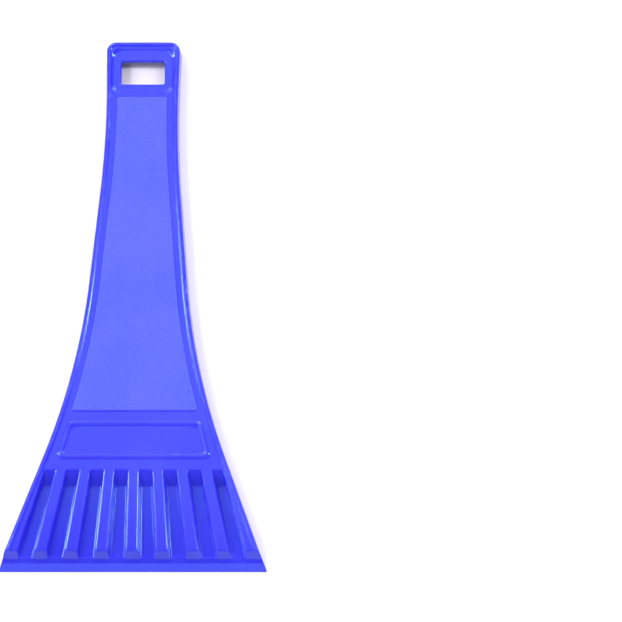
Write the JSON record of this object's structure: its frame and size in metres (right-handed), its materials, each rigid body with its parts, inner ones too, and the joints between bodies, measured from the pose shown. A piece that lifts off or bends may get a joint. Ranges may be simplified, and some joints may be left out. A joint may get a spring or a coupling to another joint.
{
  "type": "windshield ice scraper",
  "caption": "Flat one-piece plastic ice scraper with a flared ribbed blade, a textured grip panel, a hollow back and a rectangular hanging hole.",
  "frame": {"origin": "middle of the overall length on the plane of the back rim, on the symmetry plane", "axes": "+Y from the scraping edge towards the hanging hole, +Z out of the front face, +X across the blade"},
  "size_m": [0.0986, 0.2054, 0.007],
  "materials": {
    "blue_plastic": "glossy as moulded, with a fine matte texture on the grip panel"
  },
  "bodies": {
    "root": {"scraper_body": "blue_plastic"}
  },
  "joints": []
}
